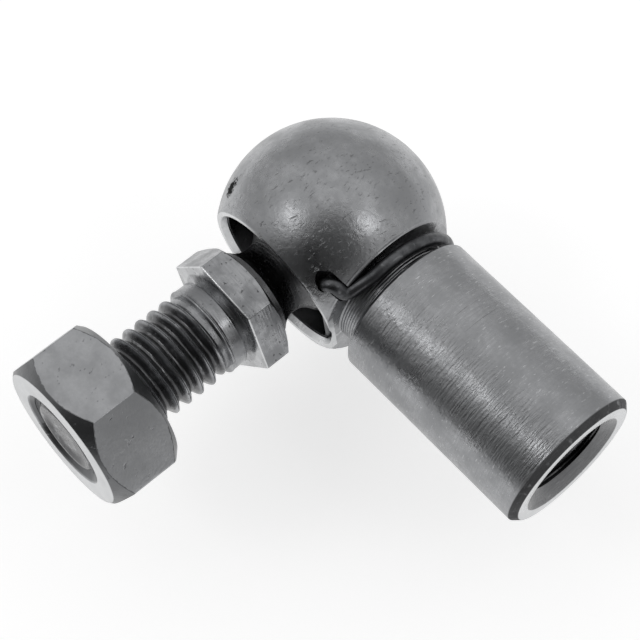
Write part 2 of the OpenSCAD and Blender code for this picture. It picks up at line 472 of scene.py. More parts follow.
class Steel:
    """Bare steel: what the finishes below have in common."""

    name: str

    def start(self) -> tuple[Tree, Material, Socket]:
        """Makes an empty material.

        Returns:
            Its node tree, the material and the socket with the place on the piece.
        """
        material = bpy.data.materials.new(self.name)
        material.use_nodes = True
        tree = material.node_tree
        tree.nodes.clear()
        return tree, material, add(tree, "TexCoord").outputs["Object"]

    def patches(
        self,
        tree: Tree,
        place: Socket,
        size: tuple[float, float, float],
        detail: float,
        low: float,
        high: float,
        offset: tuple[float, float, float],
        turn: tuple[float, float, float] = (0.0, 0.0, 0.0),
        within: Socket | None = None,
    ) -> Socket:
        """Spreads irregular patches over the piece.

        Args:
            tree: node tree of the material.
            place: socket with the place on the piece.
            size: size of a patch and the gap after it along three axes, in millimetres.
            detail: octaves of finer detail in a patch.
            low: value of the noise below which there is nothing.
            high: value of the noise above which a patch is full.
            offset: shift of the pattern, in patches, so that no two patterns coincide.
            turn: turn of the three axes, in degrees.
            within: socket with the region that has the patches, or None for the whole piece.

        Returns:
            The socket with the patches, from 0 to 1.
        """
        at = add(
            tree, "Mapping", {"vector_type": "TEXTURE"},
            {
                "Rotation": [math.radians(t) for t in turn], "Scale": [m * MM for m in size],
                "Vector": place,
            },
        ).outputs["Vector"]
        moved = add(tree, "VectorMath", {"operation": "ADD"}, {0: at, 1: offset}).outputs["Vector"]
        noise = add(
            tree, "TexNoise", None,
            {"Scale": 1.0, "Detail": detail, "Roughness": 0.6, "Vector": moved},
        ).outputs["Fac"]
        found = add(
            tree, "MapRange", {"interpolation_type": "SMOOTHSTEP"},
            {"From Min": low, "From Max": high, "Value": noise},
        ).outputs["Result"]
        if within is None:
            return found
        return add(tree, "Math", {"operation": "MULTIPLY"}, {0: found, 1: within}).outputs["Value"]

    def region(self, tree: Tree, bounds: tuple[tuple[Socket, float, float], ...]) -> Socket:
        """Marks off a part of the piece.

        Args:
            tree: node tree of the material.
            bounds: for each bound a socket with a length, the length at which the region is
                still closed and the one at which it is fully open, in millimetres.

        Returns:
            The socket with the region, 1 where every bound is open.
        """
        total: Socket | float = 1.0
        for value, shut, open_at in bounds:
            low, high = min(shut, open_at), max(shut, open_at)
            here = add(
                tree, "MapRange", {"interpolation_type": "SMOOTHSTEP"},
                {
                    "From Min": low * MM, "From Max": high * MM, "To Min": float(open_at < shut),
                    "To Max": float(open_at > shut), "Value": value,
                },
            ).outputs["Result"]
            both = add(tree, "Math", {"operation": "MULTIPLY"}, {0: here, 1: total})
            total = both.outputs["Value"]
        return total

    def distance(self, tree: Tree, a: Socket, b: Socket) -> Socket:
        """Finds the distance from an axis.

        Args:
            tree: node tree of the material.
            a: socket with the first coordinate across the axis.
            b: socket with the second one.

        Returns:
            The socket with the distance.
        """
        flat = add(tree, "CombineXYZ", None, {0: a, 1: b}).outputs["Vector"]
        return add(tree, "VectorMath", {"operation": "LENGTH"}, {0: flat}).outputs["Value"]

    def upright(self, tree: Tree, place: Socket) -> tuple[Socket, Socket, Socket]:
        """Turns the place on the stud or the nut so that the stud's axis is Z.

        Args:
            tree: node tree of the material.
            place: socket with the place on the piece.

        Returns:
            The sockets with the turned place, the length along the axis and the distance from it.
        """
        turned_up = add(
            tree, "Mapping", None,
            {"Rotation": (math.radians(SIZES.stud_tilt - 90.0), 0.0, 0.0), "Vector": place},
        ).outputs["Vector"]
        parts = add(tree, "SeparateXYZ", None, {0: turned_up})
        radius = self.distance(tree, parts.outputs["X"], parts.outputs["Y"])
        return turned_up, parts.outputs["Z"], radius

    def marks(self, tree: Tree, place: Socket, spots: tuple[Spot, ...]) -> Socket:
        """Puts single marks with ragged edges at their places.

        Args:
            tree: node tree of the material.
            place: socket with the place on the piece.
            spots: the marks.

        Returns:
            The socket with the marks, from 0 to 1.
        """
        ragged = self.patches(tree, place, (0.28, 0.28, 0.28), 3.0, 0.30, 0.70, (0.0, 0.0, 0.0))
        total: Socket | float = 0.0
        for spot in spots:
            near = add(
                tree, "Mapping", {"vector_type": "TEXTURE"},
                {
                    "Location": [v * MM for v in spot.at],
                    "Rotation": [math.radians(t) for t in spot.turn],
                    "Scale": [v * MM for v in spot.half], "Vector": place,
                },
            ).outputs["Vector"]
            away = add(tree, "VectorMath", {"operation": "LENGTH"}, {0: near}).outputs["Value"]
            edge = add(
                tree, "Math", {"operation": "MULTIPLY_ADD"}, {0: ragged, 1: 0.7, 2: away}
            ).outputs["Value"]
            mark = add(
                tree, "MapRange", {"interpolation_type": "SMOOTHSTEP"},
                {"From Min": 0.95, "From Max": 1.2, "To Min": 1.0, "To Max": 0.0, "Value": edge},
            ).outputs["Result"]
            both = add(tree, "Math", {"operation": "MAXIMUM"}, {0: mark, 1: total})
            total = both.outputs["Value"]
        return total

    def ends(
        self,
        tree: Tree,
        base: str,
        coats: list[Coat],
        reliefs: list[Relief],
        rough: tuple[float, float],
        dull: Socket | float = 0.0,
    ) -> None:
        """Lays the coats over the base, raises the reliefs and ends in a metal shader.

        Args:
            tree: node tree of the material.
            base: hex value of the lowest tint.
            coats: tints over it, the lowest first.
            reliefs: patterns in the surface.
            rough: roughness where the first coat is missing and where it is full.
            dull: socket with the places that are made rougher by 0.5, or 0 for none.
        """
        clear = add(
            tree, "MapRange", None,
            {"To Min": rough[0], "To Max": rough[1], "Value": coats[0].pattern},
        ).outputs["Result"]
        blunt = add(
            tree, "Math", {"operation": "MULTIPLY_ADD"}, {0: dull, 1: 0.5, 2: clear}
        ).outputs["Value"]
        colour: Socket | tuple[float, ...] = srgb(base)
        for coat in coats:
            share = add(
                tree, "Math", {"operation": "MULTIPLY"}, {0: coat.pattern, 1: coat.weight}
            ).outputs["Value"]
            colour = add(
                tree, "Mix", {"data_type": "RGBA"}, {"Factor": share, 6: colour, 7: srgb(coat.tint)}
            ).outputs[2]
        normal: dict[str | int, object] = {}
        for relief in reliefs:
            bump = add(
                tree, "Bump", {"invert": relief.sunk},
                {"Strength": 1.0, "Distance": relief.depth * MM, "Height": relief.pattern, **normal},
            )
            normal = {"Normal": bump.outputs["Normal"]}
        metal = add(
            tree, "BsdfPrincipled", None,
            {"Metallic": 1.0, "Base Color": colour, "Roughness": blunt, **normal},
        )
        add(tree, "OutputMaterial", None, {"Surface": metal.outputs["BSDF"]})


@dataclass(frozen=True)
class Zones:
    """Parts of the socket that look different: sockets that are 1 where the part is."""

    lathe: Socket
    tumbled: Socket
    neck: Socket
    scored: Socket
    shaded_recess: Socket
    faced_reflection: Socket
    chamfer: Socket


@dataclass(frozen=True)
class TurnedSteel(Steel):
    """Free-cutting steel: the housing tumbled smooth, neck and shank left as the lathe cut them."""

    # Bare turned steel is a mid grey with a broad sheen. Tumbling leaves the housing cloudy and
    # full of short dark nicks; the tool's feed leaves fine broken rings on the shank, and their
    # flecks are painted lighter, a painted glint.
    name: str = "turned_free_cutting_steel"
    light: str = "#a4a5a7"
    dark: str = "#8f9092"
    # Dark tint of the nicks, scratches and scores, and of the painted shade on the shank end's
    # chamfer
    nick_and_shade: str = "#4a4a4b"
    # Lighter tint of the shank's flecks: a painted glint
    bright: str = "#c9cacc"
    # Lighter tint of the faced rim, lead-in and shank end: a painted reflection
    faced_reflection: str = "#dcddde"
    # Darker tint in the pocket and the tapped hole: a painted shade
    recess_shade: str = "#3c3c3d"
    pit: str = "#1d1d1e"
    # Where the tumbled housing ends, and the narrow neck after it
    housing_end: float = 6.45
    blend: float = 0.3
    shoulder: float = 8.8
    # Scores show on the half of the shank that is next to the neck
    scored: float = 17.0
    scored_end: float = 21.0
    # Ridges of the grooving tool round the neck
    ridge: float = 0.24
    # One deep pit beside the mouth
    pits: tuple[Spot, ...] = (Spot((-6.60, -4.55, 5.30), (0.72, 1.05, 0.92)),)
    # A burr on the mouth's edge, painted near white: a painted glint
    burr_glint: Spot = Spot((5.24, -6.30, 4.64), (0.30, 0.20, 0.16))
    # Tint of the painted glint on the burr
    shine: str = "#f0f0f0"

    def zones(self, tree: Tree, place: Socket) -> Zones:
        """Marks off the parts of the socket that look different.

        Args:
            tree: node tree of the material.
            place: socket with the place on the piece.

        Returns:
            The parts.
        """
        s = SIZES
        parts = add(tree, "SeparateXYZ", None, {0: place})
        x, y, z = parts.outputs["X"], parts.outputs["Y"], parts.outputs["Z"]
        from_bore = self.distance(tree, x, z)
        from_rod = self.distance(tree, y, z)
        neck_start = self.housing_end + self.blend
        lathe = self.region(tree, ((x, self.housing_end, neck_start),))
        tumbled = self.region(tree, ((x, neck_start, self.housing_end),))
        neck = self.region(
            tree, ((x, self.housing_end, neck_start), (x, self.shoulder, self.shoulder - 0.1))
        )
        scored = self.region(
            tree,
            ((x, self.shoulder, self.shoulder + self.blend), (x, self.scored_end, self.scored)),
        )
        # The mouth was faced last: rim and lead-in are painted lighter, a painted reflection, and
        # the pocket behind them is painted darker, a painted shade
        foot = -s.mouth_foot
        rim = self.region(
            tree, ((y, foot + 0.03, foot - 0.03), (from_bore, s.rim_r + 0.05, s.rim_r - 0.05))
        )
        # Painted shade in the pocket behind the lead-in
        pocket = self.region(
            tree,
            (
                (y, foot - 0.03, foot + 0.07),
                (y, s.pocket_r + 0.15, s.pocket_r + 0.05),
                (from_bore, s.pocket_r + 0.10, s.pocket_r + 0.04),
            ),
        )
        # Painted shade in the tapped hole and its countersink
        rod_hole = self.region(
            tree,
            (
                (x, s.rod_point - 0.45, s.rod_point - 0.25),
                (from_rod, s.rod_sink_r - 0.02, s.rod_sink_r - 0.09),
            ),
        )
        shaded_recess = add(tree, "Math", {"operation": "MAXIMUM"}, {0: pocket, 1: rod_hole})
        # The shank's end is faced too and painted lighter, a painted reflection; its chamfer is
        # painted darker, a painted shade
        end = self.region(
            tree,
            (
                (x, s.shank_reach - 0.08, s.shank_reach - 0.03),
                (from_rod, s.end_r + 0.02, s.end_r - 0.04),
                (from_rod, s.rod_sink_r - 0.07, s.rod_sink_r - 0.02),
            ),
        )
        faced_reflection = add(tree, "Math", {"operation": "MAXIMUM"}, {0: rim, 1: end})
        chamfer = self.region(
            tree,
            (
                (x, s.shank_reach - 0.62, s.shank_reach - 0.50),
                (from_rod, s.end_r - 0.07, s.end_r + 0.05),
            ),
        )
        return Zones(
            lathe, tumbled, neck, scored, shaded_recess.outputs["Value"], faced_reflection.outputs["Value"], chamfer
        )

    def make(self) -> Material:
        """Builds the material's nodes.

        Returns:
            The new material.
        """
        tree, material, place = self.start()
        zones = self.zones(tree, place)
        # Painted shade in patches on the shank end's chamfer
        chamfer_shade = self.patches(
            tree, place, (0.9, 0.9, 0.9), 3.0, 0.15, 0.45, (1.0, 8.0, 3.0), within=zones.chamfer
        )
        clouds = self.patches(tree, place, (3.2, 3.2, 3.2), 5.0, 0.36, 0.64, (0.0, 0.0, 0.0))
        mottle = self.patches(tree, place, (0.5, 0.5, 0.5), 4.0, 0.35, 0.65, (7.3, 1.1, 4.2))
        # Nicks a quarter of a millimetre long, a tenth wide, crowded in some places
        crowd = self.patches(
            tree, place, (2.6, 2.6, 2.6), 2.0, 0.40, 0.58, (14.0, 5.0, 1.0), within=zones.tumbled
        )
        nicks = self.patches(
            tree, place, (0.20, 0.52, 0.34), 5.0, 0.57, 0.68, (3.1, 9.2, 5.7), (0.0, 0.0, 9.0), crowd
        )
        # Longer crooked scratches between them
        scratches = self.patches(
            tree, place, (0.26, 1.30, 0.80), 5.0, 0.625, 0.69, (8.1, 4.2, 2.7), (0.0, 0.0, -14.0),
            zones.tumbled,
        )
        # Tool lines 0.1 mm apart on the real shank, drawn 0.17 mm apart so that they show
        lines = self.patches(
            tree, place, (0.17, 1.9, 1.9), 3.0, 0.30, 0.70, (0.4, 3.3, 8.8), within=zones.lathe
        )
        scores = self.patches(
            tree, place, (0.10, 5.0, 5.0), 1.0, 0.72, 0.76, (5.5, 0.2, 1.9), within=zones.scored
        )
        # Flecks on the turned rings, raised and painted lighter as a painted glint
        glint_flecks = self.patches(
            tree, place, (0.13, 0.75, 0.75), 2.0, 0.62, 0.72, (2.5, 6.1, 0.7), within=zones.lathe
        )
        x = add(tree, "SeparateXYZ", None, {0: place}).outputs["X"]
        phase = add(
            tree, "Math", {"operation": "MULTIPLY"}, {0: x, 1: math.tau / (self.ridge * MM)}
        ).outputs["Value"]
        wave = add(tree, "Math", {"operation": "SINE"}, {0: phase}).outputs["Value"]
        ridges = add(
            tree, "Math", {"operation": "MULTIPLY"}, {0: wave, 1: zones.neck}
        ).outputs["Value"]
        pits = self.marks(tree, place, self.pits)
        # Painted glint: the burr is painted near white
        burr_glint = self.marks(tree, place, (self.burr_glint,))
        # The pit and the painted shade on the chamfer are rougher
        dull = add(tree, "Math", {"operation": "MAXIMUM"}, {0: pits, 1: chamfer_shade}).outputs["Value"]
        coats = [
            Coat(self.light, clouds),
            Coat(self.dark, mottle, 0.5),
            Coat(self.dark, lines, 0.6),
            Coat(self.bright, glint_flecks, 0.6),
            Coat(self.nick_and_shade, scores, 0.6),
            Coat(self.nick_and_shade, nicks, 0.45),
            Coat(self.nick_and_shade, scratches, 0.5),
            Coat(self.recess_shade, zones.shaded_recess, 0.72),
            Coat(self.nick_and_shade, chamfer_shade, 0.8),
            Coat(self.faced_reflection, zones.faced_reflection, 0.75),
            Coat(self.pit, pits),
            Coat(self.shine, burr_glint),
        ]
        reliefs = [
            Relief(lines, 0.014),
            Relief(glint_flecks, 0.010),
            Relief(ridges, 0.018),
            Relief(mottle, 0.007),
            Relief(nicks, 0.010, True),
            Relief(scratches, 0.012, True),
            Relief(pits, 0.10, True),
        ]
        self.ends(tree, self.dark, coats, reliefs, (0.34, 0.25), dull)
        return material


@dataclass(frozen=True)
class StudSteel(Steel):
    """Stud steel: turned bright, hexagon as drawn, thread rolled."""

    # Turned bands and drawn flats are bright with dark pin pricks. Painted shade darkens the
    # thread's valleys, the heel beside the hexagon, the chamfered end and the ball, while the
    # thread's crests keep the light tone.
    name: str = "rolled_stud_steel"
    light: str = "#a2a3a5"
    dark: str = "#828385"
    prick: str = "#2f2f30"
    # Dark tint of the painted shade on the stud
    oil: str = "#474748"
    # Start of the thread, and the radii from which the painted shade shows in it and below which
    # it is full
    thread: float = 14.8
    crest_r: float = 3.86
    valley_r: float = 3.60
    # Painted shade on the ball is full up to the waist and ends before the heel
    waist: float = 7.9
    ball_shade_end: float = 8.4
    # Painted shade: a dark band from the heel to the edge of the hexagon's chamfer, which rises
    # outside its flat
    heel: float = 8.56
    hex_back: float = 9.25
    hex_flat: float = 4.9
    hex_slope: float = 30.0
    # Faced seat of the hexagon, outside the collar, painted lighter: a painted reflection
    seat: float = 12.0
    seat_r: float = 4.2
    bright: str = "#d6d7d8"
    # Painted shade on the chamfered end of the thread inside the nut, round the bright edge of
    # the end face
    reach: float = SIZES.stud_reach
    end_r: float = 3.08

    def make(self) -> Material:
        """Builds the material's nodes.

        Returns:
            The new material.
        """
        tree, material, place = self.start()
        upright, along, radius = self.upright(tree, place)
        clouds = self.patches(tree, place, (1.7, 1.7, 1.7), 5.0, 0.36, 0.64, (1.0, 5.0, 2.0))
        pricks = self.patches(tree, place, (0.26, 0.26, 0.26), 2.0, 0.66, 0.71, (4.0, 0.0, 9.0))
        # Turned rings on the bands, as fine as they can be to show
        rings = self.patches(tree, upright, (1.8, 1.8, 0.15), 3.0, 0.30, 0.70, (0.0, 2.0, 7.0))
        valley = self.region(
            tree,
            ((along, self.thread - 0.2, self.thread + 0.3), (radius, self.crest_r, self.valley_r)),
        )
        # Painted shade in the thread's valleys, in patches
        valley_shade = self.patches(
            tree, upright, (1.2, 1.2, 0.4), 3.0, 0.22, 0.50, (6.0, 3.0, 1.0), within=valley
        )
        # Painted shade on the heel, up to the hexagon's chamfer, and on the end of the thread
        outside = add(
            tree, "Math", {"operation": "SUBTRACT"}, {0: radius, 1: self.hex_flat * MM}
        ).outputs["Value"]
        outside = add(tree, "Math", {"operation": "MAXIMUM"}, {0: outside, 1: 0.0}).outputs["Value"]
        behind = add(
            tree, "Math", {"operation": "MULTIPLY_ADD"},
            {0: outside, 1: -math.tan(math.radians(self.hex_slope)), 2: along},
        ).outputs["Value"]
        heel = self.region(
            tree,
            (
                (behind, self.hex_back + 0.06, self.hex_back + 0.02),
                (along, self.heel, self.heel + 0.1),
            ),
        )
        end = self.region(
            tree,
            ((along, self.reach - 1.3, self.reach - 1.1), (radius, self.end_r, self.end_r + 0.10)),
        )
        gloom = add(tree, "Math", {"operation": "MAXIMUM"}, {0: heel, 1: end}).outputs["Value"]
        # Painted reflection: the seat is painted lighter
        seat = self.region(
            tree,
            (
                (along, self.seat - 0.08, self.seat - 0.03),
                (along, self.seat + 0.08, self.seat + 0.03),
                (radius, self.seat_r, self.seat_r + 0.2),
            ),
        )
        # Painted shade: the ball and its waist, down in the socket, are painted darker
        ball = self.region(tree, ((along, self.ball_shade_end, self.waist),))
        coats = [
            Coat(self.light, clouds),
            Coat(self.dark, rings, 0.5),
            Coat(self.oil, valley_shade, 0.85),
            Coat(self.oil, gloom, 0.85),
            Coat(self.oil, ball, 0.8),
            Coat(self.bright, seat, 0.85),
            Coat(self.prick, pricks, 0.75),
        ]
        reliefs = [Relief(rings, 0.008), Relief(pricks, 0.02, True)]
        self.ends(tree, self.dark, coats, reliefs, (0.33, 0.22))
        return material


@dataclass(frozen=True)
class NutSteel(Steel):
    """Cold-formed nut steel, bare."""

    # Thickness, radius of the flat faces and radius of the countersinks
    t: float
    flat_r: float
    sink_r: float
    # Forming leaves the flats satin and a little cloudy, with a few dark dents from the hopper.
    name: str = "cold_formed_nut_steel"
    light: str = "#a6a7a9"
    dark: str = "#949597"
    dent: str = "#4d4e4f"
    # Painted shade darkens the chamfers and the countersinks, and the ground outer face is
    # painted lighter, a painted reflection
    # Tint of the painted shade on the chamfers and in the countersinks
    scale: str = "#515253"
    ground_reflection: str = "#d3d4d5"
    reach: float = SIZES.nut_reach

    def make(self) -> Material:
        """Builds the material's nodes.

        Returns:
            The new material.
        """
        tree, material, place = self.start()
        _, along, radius = self.upright(tree, place)
        # Depth below the nearer face, and with the radius the depth below a chamfer of 45 degrees
        middle = add(
            tree, "Math", {"operation": "SUBTRACT"},
            {0: along, 1: (self.reach - self.t / 2) * MM},
        ).outputs["Value"]
        away = add(tree, "Math", {"operation": "ABSOLUTE"}, {0: middle}).outputs["Value"]
        out = add(tree, "Math", {"operation": "ADD"}, {0: away, 1: radius}).outputs["Value"]
        worn = self.patches(tree, place, (0.5, 0.5, 0.5), 3.0, 0.30, 0.70, (5.0, 2.0, 8.0))
        out = add(
            tree, "Math", {"operation": "MULTIPLY_ADD"}, {0: worn, 1: -0.09 * MM, 2: out}
        ).outputs["Value"]
        # Painted shade on the chamfers and in the countersinks
        rim = self.t / 2 + self.flat_r
        chamfer = self.region(
            tree, ((out, rim - 0.14, rim - 0.08), (radius, self.flat_r, self.flat_r + 0.08))
        )
        sink = self.region(tree, ((radius, self.sink_r, self.sink_r - 0.12),))
        gloom = add(tree, "Math", {"operation": "MAXIMUM"}, {0: chamfer, 1: sink}).outputs["Value"]
        # Painted reflection: the ground outer face is painted lighter
        face = self.region(
            tree,
            (
                (along, self.reach - 0.06, self.reach - 0.02),
                (radius, self.sink_r, self.sink_r + 0.04),
            ),
        )
        clouds = self.patches(tree, place, (2.4, 2.4, 2.4), 6.0, 0.34, 0.66, (2.0, 8.0, 3.0))
        # Dents half a millimetre long
        dents = self.patches(
            tree, place, (0.5, 0.9, 0.5), 3.0, 0.64, 0.72, (9.0, 1.0, 1.0), (10.0, 0.0, 25.0)
        )
        grain = self.patches(tree, place, (0.25, 0.25, 0.25), 2.0, 0.30, 0.70, (0.0, 7.0, 5.0))
        coats = [
            Coat(self.light, clouds),
            Coat(self.dark, grain, 0.3),
            Coat(self.dent, dents, 0.45),
            Coat(self.scale, gloom, 0.75),
            Coat(self.ground_reflection, face, 0.85),
        ]
        reliefs = [Relief(grain, 0.004), Relief(dents, 0.02, True)]
        self.ends(tree, self.dark, coats, reliefs, (0.38, 0.29))
        return material


@dataclass(frozen=True)
class WireSteel(Steel):
    """Drawn spring wire, oil-dark from its hardening."""

    # Dark grey with a soft sheen along the wire, rubbed lighter in small places.
    name: str = "drawn_spring_wire"
    light: str = "#5f6062"
    dark: str = "#48494b"
    rub: str = "#8a8b8d"

    def make(self) -> Material:
        """Builds the material's nodes.

        Returns:
            The new material.
        """
        tree, material, place = self.start()
        clouds = self.patches(tree, place, (0.9, 0.9, 0.9), 4.0, 0.34, 0.66, (3.0, 3.0, 1.0))
        rubbed = self.patches(tree, place, (0.5, 0.5, 0.5), 3.0, 0.62, 0.72, (8.0, 4.0, 2.0))
        # Skin of the drawn wire, drawn coarser than it is so that it shows
        skin = self.patches(tree, place, (0.18, 0.18, 0.18), 2.0, 0.30, 0.70, (1.0, 1.0, 6.0))
        coats = [Coat(self.light, clouds), Coat(self.rub, rubbed, 0.4)]
        self.ends(tree, self.dark, coats, [Relief(skin, 0.004)], (0.42, 0.30))
        return material


def finished(piece: Piece, material: Material, node: str, body: str) -> None:
    """Shades a piece, gives it its finish and its place in the frame.

    Args:
        piece: modelled piece.
        material: its finish.
        node: CAD node that it stands for.
        body: CAD body that it moves with.
    """
    alone(piece)
    bpy.ops.object.shade_smooth_by_angle(angle=math.radians(32.0))
    piece.data.materials.clear()
    piece.data.materials.append(material)
    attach(piece, body)
    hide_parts(node)
    LOG.info("%s: %d faces, stands for %s on %s", piece.name, len(piece.data.polygons), node, body)


@dataclass
class BallSocket:
    """Socket turned from one bar: round housing, neck and tapped shank."""

    sizes: Sizes = SIZES
    segments: int = 160
    edge: float = 0.07
    tap_start: float = 4.2

    def build(self, clip: "SafetyClip") -> Piece:
        """Turns the body and cuts mouth, tapped hole and the clip's seat.

        Args:
            clip: safety clip, whose route the hole and the slot follow.

        Returns:
            The modelled socket.
        """
        s = self.sizes
        tilt = math.degrees(math.asin(s.neck_x / s.housing_r))
        body = (
            Outline()
            .arc(s.housing_r, -90.0, tilt, (0.0, 0.0), 84)
            .to(s.neck_r, s.neck_x, 0.12)
            .to(s.neck_r, s.shoulder_x, 0.12)
            .to(s.shank_r - 0.3, s.shoulder_x, self.edge)
            .to(s.shank_r, s.shoulder_x + 0.3, self.edge)
            .to(s.shank_r, s.shank_reach - s.shank_edge, self.edge)
            .to(s.end_r, s.shank_reach, self.edge)
            .to(0.0, s.shank_reach)
        )
        piece = turned("socket", body, Axis.X, self.segments)
        cut(piece, self.mouth(), Cut.AWAY)
        cut(piece, self.rod_hole(), Cut.AWAY)
        cut(piece, self.rod_thread(), Cut.AWAY)
        for tool in clip.seat():
            cut(piece, tool, Cut.AWAY)
        return piece

    def dress(self, piece: Piece) -> None:
        """Gives the socket its finish and its place in the frame."""
        finished(piece, TurnedSteel().make(), "ball_socket", "socket")

    def mouth(self) -> Piece:
        """Makes the tool that bores the pocket and faces the rim.

        Returns:
            The tool, turned about the mouth's axis.
        """
        s = self.sizes
        rim = s.mouth_reach
        foot = s.mouth_foot
        outer = s.rim_r
        # The tool stays within the neck's width, so it faces the rim and leaves the shank round
        bore = (
            Outline()
            .arc(s.pocket_r, -90.0, 0.0, (0.0, 0.0), 40)
            .to(s.pocket_r, foot - 0.16)
            .to(s.pocket_r + 0.06, foot - 0.12)
            .to(s.pocket_r + 0.06, foot - 0.05)
            .to(s.pocket_r + 0.01, foot)
            .to(s.pocket_r + s.lead_w, rim, 0.08)
            .to(outer - 0.05, rim)
            .to(outer + 0.12, rim - 0.09)
            .to(outer + 0.9, rim - 0.09)
            .to(outer + 0.9, 2 * s.housing_r)
            .to(0.0, 2 * s.housing_r)
        )
        tool = turned("mouth_tool", bore, Axis.Z, self.segments)
        return placed(tool, Matrix.Rotation(math.radians(90.0), 4, "X"))

    def rod_hole(self) -> Piece:
        """Makes the drill and countersink of the tapped hole.

        Returns:
            The tool, turned about the shank's axis.
        """
        s = self.sizes
        point = s.rod_point
        sink = (s.rod_sink_r - s.rod_hole_r) / math.tan(math.radians(60.0))
        drill = (
            Outline()
            .to(0.0, point)
            .to(s.rod_hole_r, point + s.rod_hole_r / math.tan(math.radians(59.0)))
            .to(s.rod_hole_r, s.shank_reach - sink)
            .to(s.rod_sink_r, s.shank_reach)
            .to(s.rod_sink_r + 0.12, s.shank_reach + 0.25)
            .to(0.0, s.shank_reach + 0.25)
        )
        return turned("drill_tool", drill, Axis.X, 96)

    def rod_thread(self) -> Piece:
        """Makes the tap for the hole in the shank.

        Returns:
            The threaded tool, laid along the shank.
        """
        s = self.sizes
        first = s.rod_point + self.tap_start
        # Grown a little, so that no corner of the profile lies in the drilled wall
        tap = TAPPED_M8.grown(0.02).solid("tap_tool", first, s.shank_reach + 1.0, s.shank_reach)
        return placed(tap, Matrix.Rotation(math.radians(90.0), 4, "Y"))


@dataclass
class SafetyClip:
    """One spring wire: leg in front of the ball, hairpin over the housing, turn round the neck."""

    sizes: Sizes = SIZES
    bend_in: float = 0.06
    leg_rise: float = 0.55
    wrap_start: float = 16.5
    wrap_angle: float = 215.0
    wrap_spread: float = 24.0
    wrap_lean: float = 2.4
    corner_draw: float = 0.54
    wrap_gap: float = 0.1
    side_gap: float = 0.2
    slot_gap: float = 0.1
    groove_gap: float = 0.08
    hole_play: float = 0.08
    groove_share: float = 0.85

    def round_neck(self, r: float, angle: float) -> Vector:
        """Finds a point beside the neck.

        Args:
            r: distance from the shank's axis.
            angle: angle from the top towards the mouth, in degrees.

        Returns:
            The point, in millimetres.
        """
        s = self.sizes
        a = math.radians(angle)
        x = s.neck_x + self.side_gap + s.wire_r
        lean = r * math.sin(a) * math.tan(math.radians(self.wrap_lean))
        return Vector((x - lean, -r * math.sin(a), r * math.cos(a)))

    def corners(self) -> tuple[Vector, Vector, Vector, Vector]:
        """Returns the leg's foot, its corner, the corner beside the neck and the touch on it."""
        s = self.sizes
        r = s.neck_r + self.wrap_gap + s.wire_r
        foot = s.leg + Vector((0.0, 0.0, -s.leg_exit))
        top = s.leg + Vector((0.0, 0.0, s.leg_exit + self.leg_rise))
        spread = r / math.cos(math.radians(self.wrap_spread))
        elbow = self.round_neck(spread, self.wrap_start + self.wrap_spread)
        elbow -= Vector((self.corner_draw, 0.0, 0.0))
        return foot, top, elbow, self.round_neck(r, self.wrap_start)

    def bend(self, a: Vector, b: Vector, c: Vector, steps: int) -> list[Vector]:
        """Rounds a corner of the route.

        Args:
            a: point before the corner.
            b: the corner.
            c: point after it.
            steps: number of straight pieces.

        Returns:
            The points of the bend.
        """
        r = self.sizes.wire_r + self.bend_in
        into = (b - a).normalized()
        out = (c - b).normalized()
        turn = into.angle(out)
        inward = (out - into * out.dot(into)).normalized()
        middle = b - into * r * math.tan(turn / 2) + inward * r
        return [
            middle + (into * math.sin(turn * i / steps) - inward * math.cos(turn * i / steps)) * r
            for i in range(steps + 1)
        ]

    def route(self) -> list[Vector]:
        """Returns the wire's middle line from the leg's foot to its end, in millimetres."""
        s = self.sizes
        foot, top, elbow, touch = self.corners()
        r = s.neck_r + self.wrap_gap + s.wire_r
        wrap = [self.round_neck(r, self.wrap_start - self.wrap_angle * i / 72) for i in range(73)]
        return [foot] + self.bend(foot, top, elbow, 20) + self.bend(top, elbow, touch, 12) + wrap

    def seat(self) -> list[Piece]:
        """Makes the tools that cut the leg's hole, the slot and the groove in the housing.

        Returns:
            The three tools.
        """
        s = self.sizes
        foot, top, elbow, touch = self.corners()
        slot_end = elbow + (elbow - top).normalized() * s.wire_r
        groove_end = elbow.lerp(touch, self.groove_share)
        tools = []
        for a, b, r in (
            (foot - Vector((0.0, 0.0, 1.0)), top, s.wire_r + self.hole_play),
            (top, slot_end, s.wire_r + self.slot_gap),
            (elbow, groove_end, s.wire_r + self.groove_gap),
        ):
            bpy.ops.object.select_all(action="DESELECT")
            bpy.ops.mesh.primitive_cylinder_add(vertices=64, radius=r * MM, depth=(b - a).length * MM)
            tool = bpy.context.object
            turn = (b - a).to_track_quat("Z", "Y").to_matrix().to_4x4()
            tools.append(placed(tool, Matrix.Translation((a + b) / 2 * MM) @ turn))
        return tools

    def build(self) -> Piece:
        """Draws the wire as a round tube along its route.

        Returns:
            The modelled clip.
        """
        points = self.route()
        bpy.ops.object.select_all(action="DESELECT")
        bpy.ops.curve.primitive_nurbs_path_add()
        piece = bpy.context.object
        piece.name = "clip"
        curve = piece.data
        curve.splines.clear()
        wire = curve.splines.new("POLY")
        wire.points.add(len(points) - 1)
        for spot, p in zip(wire.points, points):
            spot.co = (p.x * MM, p.y * MM, p.z * MM, 1.0)
        curve.dimensions = "3D"
        curve.twist_mode = "MINIMUM"
        curve.bevel_depth = self.sizes.wire_r * MM
        curve.bevel_resolution = 8
        curve.use_fill_caps = True
        alone(piece)
        bpy.ops.object.convert(target="MESH")
        piece = bpy.context.object
        bpy.ops.object.mode_set(mode="EDIT")
        return closed(piece)

    def dress(self, piece: Piece) -> None:
        """Gives the clip its finish and its place in the frame."""
        finished(piece, WireSteel().make(), "safety_clip", "socket")


